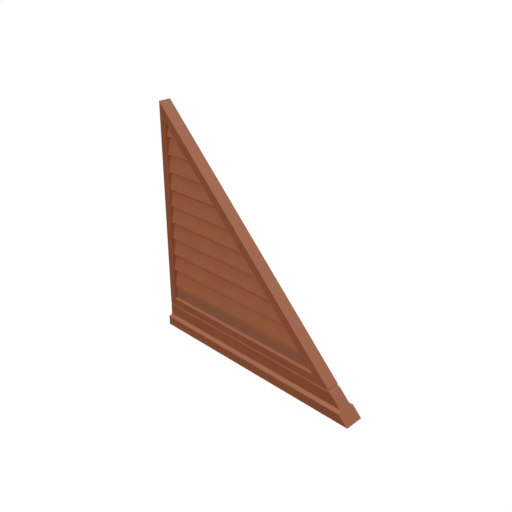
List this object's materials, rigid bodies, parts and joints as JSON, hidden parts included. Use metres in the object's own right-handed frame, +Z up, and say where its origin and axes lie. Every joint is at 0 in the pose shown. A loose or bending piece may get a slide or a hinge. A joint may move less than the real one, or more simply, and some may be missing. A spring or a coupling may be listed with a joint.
{
  "type": "wooden half-gable wall panel",
  "caption": "Right-triangle framed wooden gable panel: lapped boards between an upright stile, a 45 degree raking stile and a moulded sill.",
  "frame": {"origin": "middle of the sill's underside, which is the middle of the object's box at its base", "axes": "+Z up, +X along the sill from the upright stile towards the foot of the rake, +Y from the front face to the back"},
  "size_m": [0.61, 0.05, 0.61],
  "materials": {
    "stained_frame": "planed softwood, reddish brown stain, matte",
    "stained_sill": "planed and moulded softwood, reddish brown stain, matte",
    "stained_boards": "planed softwood boards, reddish brown stain, matte"
  },
  "bodies": {
    "root": {"left_stile": "stained_frame", "raking_stile": "stained_frame", "bottom_rail": "stained_frame", "sill": "stained_sill", "starter_strip": "stained_boards", "lap_board_01": "stained_boards", "lap_board_02": "stained_boards", "lap_board_03": "stained_boards", "lap_board_04": "stained_boards", "lap_board_05": "stained_boards", "lap_board_06": "stained_boards", "lap_board_07": "stained_boards", "lap_board_08": "stained_boards", "lap_board_09": "stained_boards", "lap_board_10": "stained_boards"}
  },
  "joints": []
}
